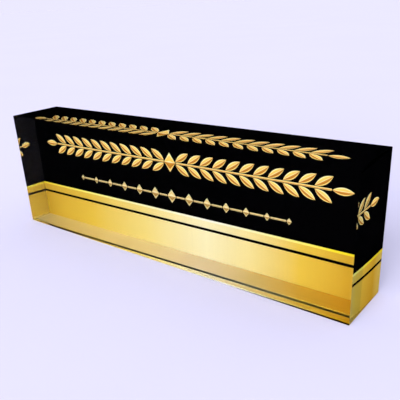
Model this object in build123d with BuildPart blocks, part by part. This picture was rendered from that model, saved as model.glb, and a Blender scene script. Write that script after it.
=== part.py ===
from build123d import *

import os
from math import radians, sin

# A clear acrylic desk name plate, printed in reverse on the back of the block.
# Millimetres. The origin is at the middle of the base: +X along the plate, +Y from front to back, +Z up.
# The printed layers lie behind the block and are seen through its clear front, top and ends.

# Clear block
block_length = 203.2
block_height = 63.5
block_depth = 30.0
edge_chamfer = 0.15

# Layers behind the block
ink_thickness = 0.1
underbase_thickness = 0.1
backing_thickness = 0.3
backing_margin = 0.8
backing_corner_radius = 2.0

# Printed bands, from the base upwards
lower_band_height = 14.9
black_rule_height = 1.4
upper_band_height = 3.6
edge_line_height = 1.1

# Gap left between neighbouring pieces of an ornament
ornament_gap = 0.35

# Laurel garland: two branches that grow outwards from a lozenge
laurel_margin = 9.0
laurel_axis_share = 0.6
leaf_length = 9.0
leaf_width = 3.2
leaf_angle = 32
leaf_spacing = 0.6
stem_width = 0.8
laurel_lozenge_height = 9.6
laurel_lozenge_width = 6.8

# Lozenge rule: lozenges that shrink from the middle to the ends, joined by thin lines
lozenge_rule_margin = 35.4
lozenge_rule_axis_share = 0.19
lozenge_pitch = 10.5
middle_lozenge_height = 6.8
end_lozenge_height = 3.0
lozenge_width_share = 0.8
line_width = 0.8

# Depths: the block and its layers together are centred on the origin
total_depth = block_depth + ink_thickness + underbase_thickness + backing_thickness
block_front = -total_depth / 2
block_back = block_front + block_depth

# A sketch on one of these planes has X along the plate and Y up; its layer is extruded backwards
print_plane = Plane.XZ.offset(-block_back)
underbase_plane = print_plane.offset(-ink_thickness)
backing_plane = underbase_plane.offset(-underbase_thickness)

os.makedirs("parts", exist_ok=True)


# Clear block with a small chamfer on every edge but those of the printed back, which stay sharp
with BuildPart() as acrylic_block:
    with BuildSketch(Plane.XY):
        with Locations((0, block_front)):
            Rectangle(block_length, block_depth, align=(Align.CENTER, Align.MIN))
    extrude(amount=block_height)
    back_edges = acrylic_block.faces().sort_by(Axis.Y)[-1].edges()
    chamfer(acrylic_block.edges() - back_edges, length=edge_chamfer)
acrylic_block.part.label = "acrylic_block"
export_step(acrylic_block.part, "parts/acrylic_block.step")


# Outline of the block's back face, which the print fills to its edges
with BuildSketch() as back_outline:
    Rectangle(block_length, block_height, align=(Align.CENTER, Align.MIN))
    chamfer(back_outline.vertices(), length=edge_chamfer)


# Bands of ink, stacked from the base
band_heights = {
    "gold_lower_band": lower_band_height,
    "black_rule": black_rule_height,
    "gold_upper_band": upper_band_height,
    "gold_edge_line": edge_line_height,
}
band_bottom = 0
for band_name, band_height in band_heights.items():
    with BuildPart() as band:
        with BuildSketch(print_plane):
            with Locations((0, band_bottom)):
                Rectangle(block_length, band_height, align=(Align.CENTER, Align.MIN))
            add(back_outline.sketch, mode=Mode.INTERSECT)
        extrude(amount=-ink_thickness)
    band.part.label = band_name
    export_step(band.part, f"parts/{band_name}.step")
    band_bottom += band_height

# The black field takes the rest of the height, and carries both ornaments
field_bottom = band_bottom
field_height = block_height - field_bottom
laurel_axis = field_bottom + laurel_axis_share * field_height
lozenge_axis = field_bottom + lozenge_rule_axis_share * field_height


def lozenge(width, height):
    """A lozenge about the current location, in the open sketch."""
    Polygon((width / 2, 0), (0, height / 2), (-width / 2, 0), (0, -height / 2))


# One leaf: two arcs that meet in a point at its base and at its tip
with BuildSketch() as leaf:
    with BuildLine():
        ThreePointArc((0, 0), (leaf_length / 2, leaf_width / 2), (leaf_length, 0))
        ThreePointArc((leaf_length, 0), (leaf_length / 2, -leaf_width / 2), (0, 0))
    make_face()

# A branch ends in one leaf along its stem, and its leaf pairs are spread evenly over the rest
laurel_half_length = block_length / 2 - laurel_margin
branch_start = laurel_lozenge_width / 2 + ornament_gap
end_leaf_base = laurel_half_length - leaf_length
stem_end = end_leaf_base - ornament_gap
least_leaf_pitch = (leaf_width + leaf_spacing) / sin(radians(leaf_angle))
leaf_pair_count = int((stem_end - branch_start) / least_leaf_pitch)
leaf_pitch = (stem_end - branch_start) / leaf_pair_count
leaf_bases = [branch_start + pair * leaf_pitch for pair in range(leaf_pair_count)]
leaf_base_rise = stem_width / 2 + ornament_gap

with BuildPart() as laurel_garland:
    with BuildSketch(print_plane) as laurel_outline:
        with Locations((branch_start, laurel_axis)):
            Rectangle(stem_end - branch_start, stem_width, align=(Align.MIN, Align.CENTER))
        with Locations((end_leaf_base, laurel_axis)):
            add(leaf.sketch)
        for side in (1, -1):
            with Locations(*[(base, laurel_axis + side * leaf_base_rise) for base in leaf_bases]):
                add(leaf.sketch, rotation=side * leaf_angle)
        mirror(about=Plane.YZ)
        with Locations((0, laurel_axis)):
            lozenge(laurel_lozenge_width, laurel_lozenge_height)
    extrude(amount=-ink_thickness)
laurel_garland.part.label = "laurel_garland"
export_step(laurel_garland.part, "parts/laurel_garland.step")


# The lozenges are spread evenly from the middle of the rule to its two ends
rule_half_length = block_length / 2 - lozenge_rule_margin
lozenges_each_side = int(rule_half_length / lozenge_pitch)
lozenge_places = range(lozenges_each_side + 1)
lozenge_step = (rule_half_length - lozenge_width_share * end_lozenge_height / 2) / lozenges_each_side
lozenge_shrink = (middle_lozenge_height - end_lozenge_height) / lozenges_each_side
lozenge_heights = [middle_lozenge_height - place * lozenge_shrink for place in lozenge_places]

with BuildPart() as lozenge_rule:
    with BuildSketch(print_plane) as rule_outline:
        for place in lozenge_places[1:]:
            inner_half_width = lozenge_width_share * lozenge_heights[place - 1] / 2
            outer_half_width = lozenge_width_share * lozenge_heights[place] / 2
            line_start = (place - 1) * lozenge_step + inner_half_width + ornament_gap
            line_end = place * lozenge_step - outer_half_width - ornament_gap
            with Locations((line_start, lozenge_axis)):
                Rectangle(line_end - line_start, line_width, align=(Align.MIN, Align.CENTER))
            with Locations((place * lozenge_step, lozenge_axis)):
                lozenge(2 * outer_half_width, lozenge_heights[place])
        mirror(about=Plane.YZ)
        with Locations((0, lozenge_axis)):
            lozenge(lozenge_width_share * middle_lozenge_height, middle_lozenge_height)
    extrude(amount=-ink_thickness)
lozenge_rule.part.label = "lozenge_rule"
export_step(lozenge_rule.part, "parts/lozenge_rule.step")


# Black ink around the two ornaments, which fill the openings left in it
with BuildPart() as black_ink_field:
    with BuildSketch(print_plane):
        with Locations((0, field_bottom)):
            Rectangle(block_length, field_height, align=(Align.CENTER, Align.MIN))
        add(back_outline.sketch, mode=Mode.INTERSECT)
        add(laurel_outline.sketch_local, mode=Mode.SUBTRACT)
        add(rule_outline.sketch_local, mode=Mode.SUBTRACT)
    extrude(amount=-ink_thickness)
black_ink_field.part.label = "black_ink_field"
export_step(black_ink_field.part, "parts/black_ink_field.step")


# White ink behind the whole print
with BuildPart() as white_underbase:
    with BuildSketch(underbase_plane):
        add(back_outline.sketch)
    extrude(amount=-underbase_thickness)
white_underbase.part.label = "white_underbase"
export_step(white_underbase.part, "parts/white_underbase.step")


# Film stuck over the print, a little short of its edges and with rounded corners
backing_length = block_length - 2 * backing_margin
backing_height = block_height - 2 * backing_margin
with BuildPart() as backing_film:
    with BuildSketch(backing_plane):
        with Locations((0, backing_margin)):
            RectangleRounded(
                backing_length, backing_height, backing_corner_radius, align=(Align.CENTER, Align.MIN)
            )
    extrude(amount=-backing_thickness)
backing_film.part.label = "backing_film"
export_step(backing_film.part, "parts/backing_film.step")
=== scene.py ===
import math
from collections import namedtuple

import bmesh
import bpy
import numpy as np
from mathutils import Color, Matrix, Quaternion, Vector


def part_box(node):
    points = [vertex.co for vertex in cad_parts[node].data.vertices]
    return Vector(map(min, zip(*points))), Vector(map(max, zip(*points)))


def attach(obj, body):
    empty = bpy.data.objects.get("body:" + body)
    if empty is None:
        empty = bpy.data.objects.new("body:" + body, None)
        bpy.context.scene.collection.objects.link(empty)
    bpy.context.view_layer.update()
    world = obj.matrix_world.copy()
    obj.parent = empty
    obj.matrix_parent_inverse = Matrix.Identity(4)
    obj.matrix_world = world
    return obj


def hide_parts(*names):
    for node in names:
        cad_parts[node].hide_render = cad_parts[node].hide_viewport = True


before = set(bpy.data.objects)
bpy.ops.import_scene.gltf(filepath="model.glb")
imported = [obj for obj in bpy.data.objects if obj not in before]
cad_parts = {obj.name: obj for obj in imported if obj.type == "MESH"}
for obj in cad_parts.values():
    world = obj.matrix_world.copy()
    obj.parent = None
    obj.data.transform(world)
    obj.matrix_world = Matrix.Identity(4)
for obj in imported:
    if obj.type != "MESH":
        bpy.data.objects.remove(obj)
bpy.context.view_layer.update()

# A clear acrylic desk name plate, printed in reverse on its back face, on a pale floor. Metres.
# The print is seen through the block, so its colours come out deeper than the inks alone.

# Camera, as the photograph was taken
camera_place = Vector((0.1652, -0.1801, 0.1172))
camera_aim = Vector((0.0177, -0.0001, 0.0163))
camera_roll = math.radians(-3.08)
camera_lens = 46.87  # millimetres
camera_shift_up_share = 0.0695  # of the picture's width
camera_clip_start = 0.01

# Block
edge_rounding = 0.00015
edge_segments = 3
round_profile = 0.5
flat_enough = 0.999  # the least cosine between a flat's normal and its side
print_overlap = 0.00002  # how far the clear block reaches past the front of the ink, so that they are bonded
acrylic_ior = 1.49

# The block's narrow faces bend the print's picture more than plain flats do, so their shading normals lean
top_lean_at_left = math.radians(51.0)  # towards the front
top_lean_at_right = math.radians(24.0)
top_turn_at_left = math.radians(27.0)  # towards the left
top_turn_at_right = math.radians(21.0)
right_lean_at_front = math.radians(27.5)  # downwards
right_lean_at_back = math.radians(30.9)
right_turn_at_front = math.radians(8.0)  # towards the front
right_turn_at_back = math.radians(17.0)
left_lean = math.radians(9.5)  # downwards

# The base mirrors the print's black rule in a strip that slants backwards from left to right. For each end of
# the base: where that strip starts and ends, from the block's front, and how far the shading normal leans
# towards the back, before the strip and behind it
BaseEnd = namedtuple("BaseEnd", "rule_start rule_end lean_before lean_behind")
base_at_left = BaseEnd(
    rule_start=0.0003, rule_end=0.0026, lean_before=math.radians(5.6), lean_behind=math.radians(6.05)
)
base_at_right = BaseEnd(
    rule_start=0.0087, rule_end=0.0125, lean_before=math.radians(7.8), lean_behind=math.radians(8.55)
)

# Acrylic: the most haze of its smudges, the tones that tint it and the share of light that it lets through
polished_haze = 0.04
right_end_haze = 0.03
left_end_haze = 0.01
base_haze = 0.01
smudge_scale = 30.0
smudge_detail = 4.0
clear = (1.0, 1.0, 1.0, 1.0)
# The left end's inner side gets painted shade: a dark tone, and less light let through
left_inner_painted_shade = (0.085, 0.085, 0.1, 1.0)
left_inner_painted_shade_clear_share = 0.78
# The right end's front gets painted shade: a blue-grey tint that turns clear about a third of the way back
right_front_painted_shade = (0.58, 0.72, 1.0, 1.0)
right_front_painted_shade_fade_shares = (0.32, 0.34)  # of the block's depth, where the right end's dimmed front turns clear

# The base's tones along the plate, painted light and shade from pale at the left to amber at the right,
# and how clear it is along the plate before and behind the mirrored rule
base_painted_light_tones = [
    (0.0, (1.0, 0.97, 0.5, 1.0)),
    (0.3, (1.0, 0.8, 0.54, 1.0)),
    (0.55, (0.72, 0.42, 0.24, 1.0)),
    (0.75, (0.56, 0.3, 0.02, 1.0)),
    (1.0, (0.62, 0.23, 0.0, 1.0)),
]
clear_before_rule_shares = [(0.55, 1.0), (0.8, 0.42), (1.0, 0.25)]
clear_behind_rule_shares = [(0.55, 0.53), (0.78, 0.36), (1.0, 0.29)]

# Where the base's scuffs, which show its painted light and shade, fade in and out, as shares of the block's
# depth. The fades at the rule's start and end are given for the right end of the plate, and move forwards by
# the slant on the way to its left end
front_edge_fade_shares = (0.05, 0.08)
rule_start_fade_shares = (0.27, 0.285)
rule_end_fade_shares = (0.417, 0.43)
rule_slant_share = 0.3

# Inks: their colours as levels on a screen, by the share of the plate's length from its left end
full_level = 255
gold_and_painted_light_stops = [
    (0.0, (213, 168, 50)),
    (0.2, (236, 199, 72)),
    (0.4, (248, 226, 130)),
    (0.6, (255, 247, 192)),
    (0.72, (250, 233, 155)),
    (0.85, (236, 200, 72)),
    (0.96, (214, 168, 46)),
    # The last two stops are painted light, which lightens the gold near its right end
    (0.98, (226, 192, 80)),
    (1.0, (238, 208, 98)),
]
pale_gold_stops = [
    (0.0, (246, 220, 50)),
    (0.16, (254, 250, 112)),
    (0.45, (255, 253, 196)),
    (0.62, (255, 255, 228)),
    (0.8, (255, 251, 146)),
    (0.92, (246, 234, 50)),
    (1.0, (248, 224, 30)),
]

# The same by the share of a motif's width from its lower side
chiselled_gold_stops = [
    (0.0, (252, 228, 140)),
    (0.1, (250, 214, 110)),
    (0.2, (178, 104, 28)),
    (0.46, (214, 150, 48)),
    (0.52, (255, 246, 190)),
    (0.6, (246, 204, 88)),
    (0.84, (252, 218, 108)),
    (0.92, (255, 244, 180)),
]
chiselled_champagne_stops = [
    (0.0, (246, 234, 170)),
    (0.12, (232, 210, 132)),
    (0.24, (166, 120, 56)),
    (0.46, (206, 166, 86)),
    (0.54, (254, 244, 190)),
    (0.8, (232, 208, 124)),
    (1.0, (250, 240, 180)),
]

# The same between the low and the high of a cloudy noise
black_stops = [(0.0, (1, 1, 2)), (1.0, (4, 4, 5))]
white_stops = [(0.0, (236, 236, 233)), (1.0, (248, 248, 246))]
vinyl_stops = [(0.0, (22, 22, 24)), (1.0, (38, 38, 41))]
floor_stops = [(0.0, (206, 204, 229)), (1.0, (210, 208, 233))]

# Grain, streaks and clouds: scales per metre, and how far they lighten, darken or roughen
plain_detail = 3.0
unstretched = (1.0, 1.0, 1.0)
ink_grain_scale = 3000.0
ink_grain_share = 0.04
ink_roughness = (0.35, 0.5)
ink_cloud_scale = 400.0
streak_scale = 1.0
streak_stretch = (900.0, 1.0, 12.0)
streak_share = 0.04
vinyl_cloud_scale = 60.0
vinyl_roughness = (0.5, 0.75)
pebble_scale = 2500.0
pebble_detail = 2.0
pebble_strength = 0.35
pebble_height = 0.0001
floor_cloud_scale = 4.0
floor_roughness = 0.6

# Ornaments
trap_width = 0.00003  # how far an ornament's ink laps over the black around it
trap_lead = 0.00001  # how far its front stands before the black's
motif_rows = 12
motif_columns = 8
same_place = 1e-7  # corners closer than this are one
same_place_digits = 7
straight_corners = 4  # of a lozenge or a line, while a leaf's arcs have more
lozenge_columns = 3  # the upright lines that a lozenge's corners lie on

# Stage
floor_drop = 0.0002
floor_half_width = 60.0

# Lights: the key's side, its spread as seen from the plate, and its power on a face turned towards it
key_side = Vector((0.15, -0.85, 0.44))
key_spread = math.radians(50.0)
key_watts_per_area = 4.3
horizon_colour = (0.45, 0.445, 0.53, 1.0)
zenith_colour = (0.85, 0.85, 0.93, 1.0)
room_colour = (0.845, 0.825, 1.0, 1.0)

# Bounces, enough for light that goes into the block, along it and out again
most_bounces = 24
most_glossy_bounces = 16
most_transmission_bounces = 16
most_diffuse_bounces = 6

# Sides
front = Vector((0, -1, 0))
back = Vector((0, 1, 0))
top = Vector((0, 0, 1))
bottom = Vector((0, 0, -1))
right = Vector((1, 0, 0))
left = Vector((-1, 0, 0))

block_low, block_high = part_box("acrylic_block")
field_low, field_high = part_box("black_ink_field")
print_left, print_right = field_low.x, field_high.x
print_back = field_high.y


def screen(levels):
    """A colour as a screen shows it, as linear RGBA."""
    shares = [level / full_level for level in levels]
    return [*Color(shares).from_srgb_to_scene_linear(), 1.0]


def node(tree, kind, **settings):
    """A new node with its properties set."""
    made = tree.nodes.new(kind)
    for name, value in settings.items():
        setattr(made, name, value)
    return made


def material(name):
    """A new node material."""
    made = bpy.data.materials.new(name)
    made.use_nodes = True
    return made


def inside(finish):
    """A material's node tree and its principled shader."""
    return finish.node_tree, finish.node_tree.nodes["Principled BSDF"]


def ramp(tree, stops, factor):
    """A colour ramp through (share, colour) stops, driven by a socket."""
    made = node(tree, "ShaderNodeValToRGB")
    elements = made.color_ramp.elements
    while len(elements) < len(stops):
        elements.new(1.0)
    for element, (share, colour) in zip(elements, stops):
        element.position = share
        element.color = colour
    tree.links.new(factor, made.inputs["Fac"])
    return made.outputs["Color"]


def screen_ramp(tree, stops, factor):
    """A colour ramp through (share, screen colour) stops."""
    return ramp(tree, [(share, screen(levels)) for share, levels in stops], factor)


def share_ramp(tree, shares, factor):
    """A ramp of numbers through (share, number) stops."""
    return ramp(tree, [(share, (number, number, number, 1.0)) for share, number in shares], factor)


def noise(tree, scale, detail=plain_detail, stretch=unstretched):
    """Noise over the object's own metres, as a factor."""
    place = node(tree, "ShaderNodeTexCoord")
    mapping = node(tree, "ShaderNodeMapping")
    mapping.inputs["Scale"].default_value = stretch
    tree.links.new(place.outputs["Object"], mapping.inputs["Vector"])
    made = node(tree, "ShaderNodeTexNoise")
    made.inputs["Scale"].default_value = scale
    made.inputs["Detail"].default_value = detail
    tree.links.new(mapping.outputs["Vector"], made.inputs["Vector"])
    return made.outputs["Fac"]


def spread(tree, factor, low, high):
    """A 0 to 1 socket spread over a range."""
    made = node(tree, "ShaderNodeMapRange")
    made.inputs["To Min"].default_value = low
    made.inputs["To Max"].default_value = high
    tree.links.new(factor, made.inputs["Value"])
    return made.outputs["Result"]


def share_between(tree, value, start, end):
    """How far a socket is on its way from start to end, as a share."""
    made = node(tree, "ShaderNodeMapRange")
    made.inputs["From Min"].default_value = start
    made.inputs["From Max"].default_value = end
    tree.links.new(value, made.inputs["Value"])
    return made.outputs["Result"]


def bump(tree, height, strength, distance):
    """A normal bumped by a height socket."""
    made = node(tree, "ShaderNodeBump")
    made.inputs["Strength"].default_value = strength
    made.inputs["Distance"].default_value = distance
    tree.links.new(height, made.inputs["Height"])
    return made.outputs["Normal"]


def tinted(tree, colour, factor, share):
    """A colour made lighter and darker by up to a share."""
    made = node(tree, "ShaderNodeMix", data_type="RGBA", blend_type="MULTIPLY")
    made.inputs["Factor"].default_value = 1.0
    tree.links.new(colour, made.inputs["A"])
    tree.links.new(spread(tree, factor, 1 - share, 1 + share), made.inputs["B"])
    return made.outputs["Result"]


def share_along(tree, axis, start, end):
    """How far a point lies from start to end along an axis, as a share."""
    place = node(tree, "ShaderNodeTexCoord")
    split = node(tree, "ShaderNodeSeparateXYZ")
    tree.links.new(place.outputs["Object"], split.inputs["Vector"])
    return share_between(tree, split.outputs[axis], start, end)


def along_plate(tree):
    """The share of the print's length at a point, from its left end."""
    return share_along(tree, "X", print_left, print_right)


def into_block(tree):
    """The share of the block's depth at a point, from its front."""
    return share_along(tree, "Y", block_low.y, block_high.y)


def across_motif(tree):
    """The share of a motif's width at a point, from its lower side."""
    uv = node(tree, "ShaderNodeUVMap", uv_map="motif")
    split = node(tree, "ShaderNodeSeparateXYZ")
    tree.links.new(uv.outputs["UV"], split.inputs["Vector"])
    return split.outputs["Y"]


def ink(name, colour_of):
    """Cured ink: its colour with a fine grain. The block's own surface carries the gloss."""
    made = material(name)
    tree, shader = inside(made)
    grain = noise(tree, ink_grain_scale)
    tree.links.new(tinted(tree, colour_of(tree), grain, ink_grain_share), shader.inputs["Base Color"])
    tree.links.new(spread(tree, grain, *ink_roughness), shader.inputs["Roughness"])
    shader.inputs["Specular IOR Level"].default_value = 0.0
    return made


def gold_gradient(tree):
    """Gold that is palest right of the middle, with painted light near its right end and faint upright
    streaks.
    """
    streaks = noise(tree, streak_scale, stretch=streak_stretch)
    return tinted(tree, screen_ramp(tree, gold_and_painted_light_stops, along_plate(tree)), streaks, streak_share)


def pale_gold_gradient(tree):
    """Pale gold that is nearly white right of the middle."""
    return screen_ramp(tree, pale_gold_stops, along_plate(tree))


def black(tree):
    """Black with a faint cloud."""
    return screen_ramp(tree, black_stops, noise(tree, ink_cloud_scale))


def white(tree):
    """White with a faint cloud."""
    return screen_ramp(tree, white_stops, noise(tree, ink_cloud_scale))


def chiselled_gold(tree):
    """Gold with a shaded lower half and a light upper half across a motif, between pale rims."""
    return screen_ramp(tree, chiselled_gold_stops, across_motif(tree))


def chiselled_champagne(tree):
    """Pale gold with a shaded lower half and a light upper half across a motif, between pale rims."""
    return screen_ramp(tree, chiselled_champagne_stops, across_motif(tree))


def acrylic(name, most_haze):
    """Clear acrylic with smudges up to the most haze."""
    made = material(name)
    made.cycles.use_bump_map_correction = False  # or leaning normals would be straightened
    tree, shader = inside(made)
    shader.inputs["Base Color"].default_value = clear
    shader.inputs["Transmission Weight"].default_value = 1.0
    shader.inputs["IOR"].default_value = acrylic_ior
    smudges = noise(tree, smudge_scale, smudge_detail)
    tree.links.new(spread(tree, smudges, 0.0, most_haze), shader.inputs["Roughness"])
    return made


def right_end_acrylic():
    """The right end's acrylic: painted shade near the front, and an inner side that mirrors like a plain
    flat.
    """
    made = acrylic("right_end_acrylic", right_end_haze)
    tree, shader = inside(made)
    fade_start, fade_end = right_front_painted_shade_fade_shares
    # Painted shade: a blue-grey tint over the right end's front
    tone = ramp(tree, [(fade_start, right_front_painted_shade), (fade_end, clear)], into_block(tree))
    tree.links.new(tone, shader.inputs["Base Color"])
    geometry = node(tree, "ShaderNodeNewGeometry")
    normal = node(tree, "ShaderNodeMix", data_type="VECTOR")
    tree.links.new(geometry.outputs["Backfacing"], normal.inputs["Factor"])
    tree.links.new(geometry.outputs["Normal"], normal.inputs["A"])
    tree.links.new(geometry.outputs["True Normal"], normal.inputs["B"])
    tree.links.new(normal.outputs["Result"], shader.inputs["Normal"])
    return made


def left_end_acrylic():
    """The left end's acrylic: clear from outside, with painted shade on its inner side, which mirrors the
    print.
    """
    made = acrylic("left_end_acrylic", left_end_haze)
    tree, shader = inside(made)
    inner_side = node(tree, "ShaderNodeNewGeometry").outputs["Backfacing"]
    # Painted shade on the inner side: a dark tone and a smaller clear share
    tree.links.new(ramp(tree, [(0.0, clear), (1.0, left_inner_painted_shade)], inner_side), shader.inputs["Base Color"])
    tree.links.new(spread(tree, inner_side, 1.0, left_inner_painted_shade_clear_share), shader.inputs["Transmission Weight"])
    return made


def base_acrylic():
    """The base's acrylic, tinted with painted light and shade from pale at the left to amber at the right.

    Its scuffs show that painted tint, but it is clear along its front edge and where it mirrors the rule.
    """
    made = acrylic("base_acrylic", base_haze)
    tree, shader = inside(made)
    # Painted light and shade along the plate: pale at the left, amber at the right
    tree.links.new(ramp(tree, base_painted_light_tones, along_plate(tree)), shader.inputs["Base Color"])
    # The depth, skewed so that the rule lies at the same share all along the plate
    skew = node(tree, "ShaderNodeMath", operation="MULTIPLY_ADD")
    tree.links.new(share_along(tree, "X", print_right, print_left), skew.inputs[0])
    skew.inputs[1].default_value = rule_slant_share
    tree.links.new(into_block(tree), skew.inputs[2])
    skewed_depth = skew.outputs["Value"]
    # The scuffs before the rule, which show the painted light and shade, lie between the front edge and the
    # rule's start
    before_rule = node(tree, "ShaderNodeMath", operation="SUBTRACT", use_clamp=True)
    tree.links.new(share_between(tree, into_block(tree), *front_edge_fade_shares), before_rule.inputs[0])
    tree.links.new(share_between(tree, skewed_depth, *rule_start_fade_shares), before_rule.inputs[1])
    share_before = node(tree, "ShaderNodeMix", data_type="FLOAT")
    tree.links.new(before_rule.outputs["Value"], share_before.inputs["Factor"])
    share_before.inputs["A"].default_value = 1.0
    tree.links.new(share_ramp(tree, clear_before_rule_shares, along_plate(tree)), share_before.inputs["B"])
    clear_share = node(tree, "ShaderNodeMix", data_type="FLOAT")
    tree.links.new(share_between(tree, skewed_depth, *rule_end_fade_shares), clear_share.inputs["Factor"])
    tree.links.new(share_before.outputs["Result"], clear_share.inputs["A"])
    tree.links.new(share_ramp(tree, clear_behind_rule_shares, along_plate(tree)), clear_share.inputs["B"])
    tree.links.new(clear_share.outputs["Result"], shader.inputs["Transmission Weight"])
    return made


def backing_vinyl():
    """Black film with a pebbled surface."""
    made = material("backing_vinyl")
    tree, shader = inside(made)
    pebbles = noise(tree, pebble_scale, pebble_detail)
    colour = screen_ramp(tree, vinyl_stops, noise(tree, vinyl_cloud_scale))
    tree.links.new(colour, shader.inputs["Base Color"])
    tree.links.new(spread(tree, pebbles, *vinyl_roughness), shader.inputs["Roughness"])
    tree.links.new(bump(tree, pebbles, pebble_strength, pebble_height), shader.inputs["Normal"])
    return made


def floor_finish():
    """Pale, dull paint with a faint cloud."""
    made = material("floor_finish")
    tree, shader = inside(made)
    colour = screen_ramp(tree, floor_stops, noise(tree, floor_cloud_scale))
    tree.links.new(colour, shader.inputs["Base Color"])
    shader.inputs["Roughness"].default_value = floor_roughness
    shader.inputs["Specular IOR Level"].default_value = 0.0
    return made


def finish_node(name, finish):
    """Gives a CAD node's object one material."""
    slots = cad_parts[name].data.materials
    slots.clear()
    slots.append(finish)


def piece(name, mesh, finishes, slot, *replaced):
    """A modelled piece that stands for CAD nodes and rides on the plate."""
    made = bpy.data.objects.new(name, mesh)
    bpy.context.scene.collection.objects.link(made)
    for finish in finishes:
        mesh.materials.append(finish)
    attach(made, "root")
    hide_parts(*replaced)


def leaning(side, towards, angle):
    """A direction turned from one side towards another."""
    return side * math.cos(angle) + towards * math.sin(angle)


def plain_normal(normal):
    """A shading normal that is the same at all corners."""
    return lambda place: normal


def top_normal(place):
    """The top's shading normal at a corner."""
    if place.x < 0:
        return leaning(leaning(top, front, top_lean_at_left), left, top_turn_at_left)
    return leaning(leaning(top, front, top_lean_at_right), left, top_turn_at_right)


def right_normal(place):
    """The right end's shading normal at a corner."""
    if place.y < 0:
        return leaning(leaning(right, bottom, right_lean_at_front), front, right_turn_at_front)
    return leaning(leaning(right, bottom, right_lean_at_back), front, right_turn_at_back)


def base_normal(place):
    """The base's shading normal at a corner. Leaning more behind the mirrored rule makes that rule wider."""
    end = base_at_left if place.x < 0 else base_at_right
    behind = place.y - block_low.y > end.rule_end - edge_rounding
    return leaning(bottom, back, end.lean_behind if behind else end.lean_before)


def split_base(shape, depth_at_left, depth_at_right):
    """Cuts the base along a line from a depth at its left end to one at its right end."""
    start = Vector((block_low.x, block_low.y + depth_at_left, 0))
    end = Vector((block_high.x, block_low.y + depth_at_right, 0))
    faces = [face for face in shape.faces if face.normal.dot(bottom) > flat_enough]
    edges = {edge for face in faces for edge in face.edges}
    corners = {vertex for face in faces for vertex in face.verts}
    across = (end - start).cross(top)
    bmesh.ops.bisect_plane(shape, geom=[*faces, *edges, *corners], plane_co=start, plane_no=across)


def rounded_block(flats, finishes):
    """The block, its edges rounded but for those of the back, which reaches a hair past the front of the ink.

    A rounded edge is shaded and finished as the flat that it faces most.
    """
    low = block_low
    high = block_high + Vector((0, print_overlap, 0))
    shape = bmesh.new()
    bmesh.ops.create_cube(shape, size=1.0)
    for vertex in shape.verts:
        vertex.co = Vector(least if place < 0 else most for place, least, most in zip(vertex.co, low, high))
    rounded = [edge for edge in shape.edges if any(vertex.co.y < 0 for vertex in edge.verts)]
    bmesh.ops.bevel(
        shape,
        geom=rounded,
        offset=edge_rounding,
        segments=edge_segments,
        profile=round_profile,
        affect="EDGES",
    )
    shape.normal_update()
    split_base(shape, base_at_left.rule_start, base_at_right.rule_start)
    split_base(shape, base_at_left.rule_end, base_at_right.rule_end)
    mesh = bpy.data.meshes.new("acrylic_block_clear")
    shape.to_mesh(mesh)
    shape.free()
    normals = []
    for face in mesh.polygons:
        nearest = max(flats, key=lambda flat: flat.side.dot(face.normal))
        face.material_index = finishes.index(nearest.finish)
        normals.extend(nearest.normal_at(mesh.vertices[corner].co) for corner in face.vertices)
    mesh.normals_split_custom_set(normals)
    return mesh


def islands(name):
    """The separate motifs of a CAD node, each as its corners' X and Z."""
    shape = bmesh.new()
    shape.from_mesh(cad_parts[name].data)
    bmesh.ops.remove_doubles(shape, verts=shape.verts[:], dist=same_place)
    grouped = set()
    found = []
    for first in shape.verts:
        if first in grouped:
            continue
        group = {first}
        waiting = [first]
        while waiting:
            vertex = waiting.pop()
            near = {edge.other_vert(vertex) for edge in vertex.link_edges} - group
            group |= near
            waiting.extend(near)
        grouped |= group
        places = np.array([vertex.co.xz for vertex in group])
        found.append(np.unique(places.round(same_place_digits), axis=0))
    shape.free()
    return found


def arc_profile(share):
    """A leaf's width along it, as a share of its widest."""
    return 1 - (2 * share - 1) ** 2


def lozenge_profile(share):
    """A lozenge's width along it, as a share of its widest."""
    return 1 - abs(2 * share - 1)


def line_profile(share):
    """A line's width along it, which is the same all the way."""
    return 1.0


def measure(points):
    """A motif's middle, the directions along and across it, its length, half width and sides' profile."""
    middle = (points.min(0) + points.max(0)) / 2
    variances, directions = np.linalg.eigh(np.cov(points.T))
    direction = directions[:, variances.argmax()]
    profile = arc_profile
    if len(points) == straight_corners:
        profile = line_profile
        if len(set(points[:, 0])) == lozenge_columns:
            profile = lozenge_profile
            direction = np.array([1.0, 0.0])  # along the plate
    if direction[0] < 0:
        direction = -direction
    across = np.array([-direction[1], direction[0]])
    along = (points - middle) @ direction
    aside = (points - middle) @ across
    middle = middle + direction * (along.max() + along.min()) / 2 + across * (aside.max() + aside.min()) / 2
    return middle, direction, across, np.ptp(along), np.ptp(aside) / 2, profile


def add_motif(shape, uv_layer, points):
    """One motif's front: rows and columns that follow its outline, with their shares in the UV layer."""
    middle, direction, across, length, half_width, profile = measure(points)
    front_y = field_low.y - trap_lead
    grid = {}
    for row in range(motif_rows + 1):
        share = row / motif_rows
        along = (2 * share - 1) * (length / 2 + trap_width)
        reach = half_width * profile(share) + trap_width
        for column in range(motif_columns + 1):
            aside = (2 * column / motif_columns - 1) * reach
            x, z = middle + direction * along + across * aside
            grid[row, column] = shape.verts.new((x, front_y, z))
    for row in range(motif_rows):
        for column in range(motif_columns):
            corners = ((row, column), (row + 1, column), (row + 1, column + 1), (row, column + 1))
            face = shape.faces.new([grid[corner] for corner in corners])
            for loop, (corner_row, corner_column) in zip(face.loops, corners):
                loop[uv_layer].uv = (corner_row / motif_rows, corner_column / motif_columns)


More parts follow.
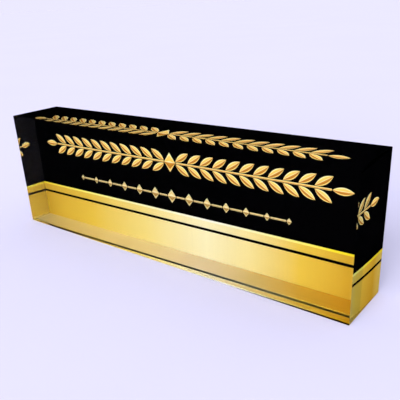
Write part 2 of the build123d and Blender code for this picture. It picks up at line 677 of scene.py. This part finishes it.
def ornament(name, node_name):
    """A mesh for all motifs of a CAD node, each with a front, walls and a back."""
    shape = bmesh.new()
    uv_layer = shape.loops.layers.uv.new("motif")
    for points in islands(node_name):
        add_motif(shape, uv_layer, points)
    walls = bmesh.ops.extrude_edge_only(shape, edges=[edge for edge in shape.edges if edge.is_boundary])
    for element in walls["geom"]:
        if isinstance(element, bmesh.types.BMVert):
            element.co.y = print_back
    bmesh.ops.holes_fill(shape, edges=[edge for edge in shape.edges if edge.is_boundary])
    bmesh.ops.recalc_face_normals(shape, faces=shape.faces[:])
    mesh = bpy.data.meshes.new(name)
    shape.to_mesh(mesh)
    shape.free()
    return mesh


def pale_floor():
    """A pale floor that runs to the horizon. It isn't mirrored in the block, which keeps its black clean."""
    reach = floor_half_width
    mesh = bpy.data.meshes.new("floor")
    corners = [(-reach, -reach), (reach, -reach), (reach, reach), (-reach, reach)]
    mesh.from_pydata([(x, y, -floor_drop) for x, y in corners], [], [(0, 1, 2, 3)])
    mesh.materials.append(floor_finish())
    made = bpy.data.objects.new("floor", mesh)
    bpy.context.scene.collection.objects.link(made)
    made.visible_glossy = False


def soft_key():
    """A wide, soft light from far away, so that the floor is lit evenly."""
    data = bpy.data.lights.new("key", "SUN")
    data.angle = key_spread
    data.energy = key_watts_per_area
    made = bpy.data.objects.new("key", data)
    made.rotation_euler = (-key_side).to_track_quat("-Z", "Y").to_euler()
    made.visible_camera = False
    bpy.context.scene.collection.objects.link(made)


def surroundings():
    """A pale, even room. It lights the plate like a sky, lighter overhead, and isn't mirrored in it."""
    world = bpy.data.worlds.new("surroundings")
    bpy.context.scene.world = world
    world.use_nodes = True
    world.cycles_visibility.glossy = False
    tree = world.node_tree
    place = node(tree, "ShaderNodeTexCoord")
    split = node(tree, "ShaderNodeSeparateXYZ")
    tree.links.new(place.outputs["Generated"], split.inputs["Vector"])
    sky = ramp(tree, [(0.0, horizon_colour), (1.0, zenith_colour)], split.outputs["Z"])
    path = node(tree, "ShaderNodeLightPath")
    seen = node(tree, "ShaderNodeMath", operation="MAXIMUM")
    tree.links.new(path.outputs["Is Camera Ray"], seen.inputs[0])
    tree.links.new(path.outputs["Is Transmission Ray"], seen.inputs[1])
    colour = node(tree, "ShaderNodeMix", data_type="RGBA")
    tree.links.new(seen.outputs["Value"], colour.inputs["Factor"])
    tree.links.new(sky, colour.inputs["A"])
    colour.inputs["B"].default_value = room_colour
    tree.links.new(colour.outputs["Result"], tree.nodes["Background"].inputs["Color"])


def camera():
    """The photograph's camera."""
    data = bpy.data.cameras.new("camera")
    data.lens = camera_lens
    data.shift_y = camera_shift_up_share
    data.clip_start = camera_clip_start
    made = bpy.data.objects.new("camera", data)
    bpy.context.scene.collection.objects.link(made)
    made.location = camera_place
    made.rotation_mode = "QUATERNION"
    aim = (camera_aim - camera_place).to_track_quat("-Z", "Y")
    made.rotation_quaternion = aim @ Quaternion((0, 0, 1), camera_roll)
    bpy.context.scene.camera = made


# Inks and film, on the CAD pieces as they are
gold = ink("gold_ink", gold_gradient)
black_ink = ink("black_ink", black)
for name in ("gold_upper_band", "gold_lower_band"):
    finish_node(name, gold)
for name in ("black_ink_field", "black_rule"):
    finish_node(name, black_ink)
finish_node("gold_edge_line", ink("pale_gold_ink", pale_gold_gradient))
finish_node("white_underbase", ink("white_ink", white))
finish_node("backing_film", backing_vinyl())

# The block: each flat's side, the normal that it is shaded with at a corner, and its finish
Flat = namedtuple("Flat", "side normal_at finish")
polished = acrylic("clear_acrylic", polished_haze)
right_end = right_end_acrylic()
left_end = left_end_acrylic()
base = base_acrylic()
block_finishes = [polished, right_end, left_end, base]
block_flats = [
    Flat(front, plain_normal(front), polished),
    Flat(back, plain_normal(back), polished),
    Flat(top, top_normal, polished),
    Flat(right, right_normal, right_end),
    Flat(left, plain_normal(leaning(left, bottom, left_lean)), left_end),
    Flat(bottom, base_normal, base),
]
clear_block = rounded_block(block_flats, block_finishes)
piece("acrylic_block_clear", clear_block, block_finishes, "clear_acrylic", "acrylic_block")

# Ornaments
ornament_gold = ink("ornament_gold_ink", chiselled_gold)
champagne = ink("champagne_gold_ink", chiselled_champagne)
laurel_print = ornament("laurel_print", "laurel_garland")
lozenge_print = ornament("lozenge_print", "lozenge_rule")
piece("laurel_print", laurel_print, [ornament_gold], "ornament_gold_ink", "laurel_garland")
piece("lozenge_print", lozenge_print, [champagne], "champagne_gold_ink", "lozenge_rule")

# Stage
pale_floor()
soft_key()
surroundings()
camera()

scene = bpy.context.scene
scene.view_settings.view_transform = "Standard"
scene.cycles.max_bounces = most_bounces
scene.cycles.glossy_bounces = most_glossy_bounces
scene.cycles.transmission_bounces = most_transmission_bounces
scene.cycles.diffuse_bounces = most_diffuse_bounces
